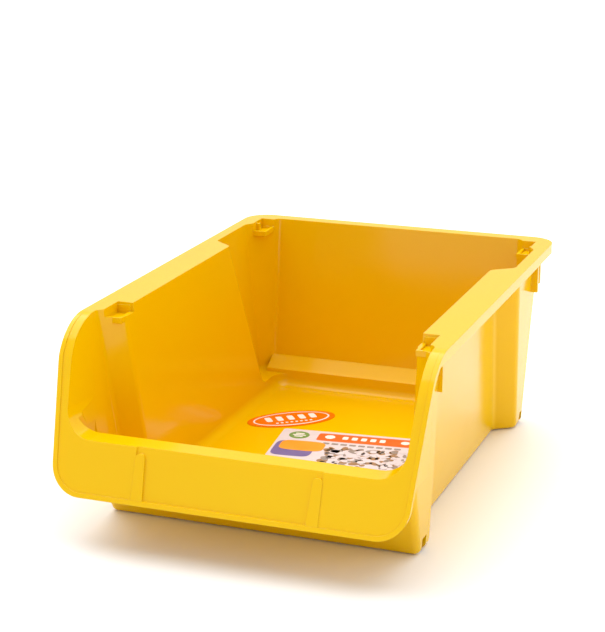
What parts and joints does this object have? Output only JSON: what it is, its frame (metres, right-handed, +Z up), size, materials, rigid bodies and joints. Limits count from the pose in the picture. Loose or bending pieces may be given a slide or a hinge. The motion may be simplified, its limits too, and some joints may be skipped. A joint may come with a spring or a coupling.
{
  "type": "stackable storage bin",
  "caption": "Open-front moulded storage bin with a flared mouth, a low front lip, a rolled rim with stacking seats, and printed stickers on its floor.",
  "frame": {"origin": "on the standing surface, under the middle of the bin's bounding box", "axes": "+Z is up, the mouth faces -Y, +X is to the right for a person who looks into the mouth"},
  "size_m": [0.15, 0.22, 0.084],
  "materials": {
    "bin_plastic": "smooth injection-moulded polypropylene, glossy",
    "label_paper": "printed paper label with a satin face",
    "sticker_film": "printed sticker film, glossy"
  },
  "bodies": {
    "root": {"bin_body": "bin_plastic", "product_label": "label_paper", "oval_sticker": "sticker_film"}
  },
  "joints": []
}
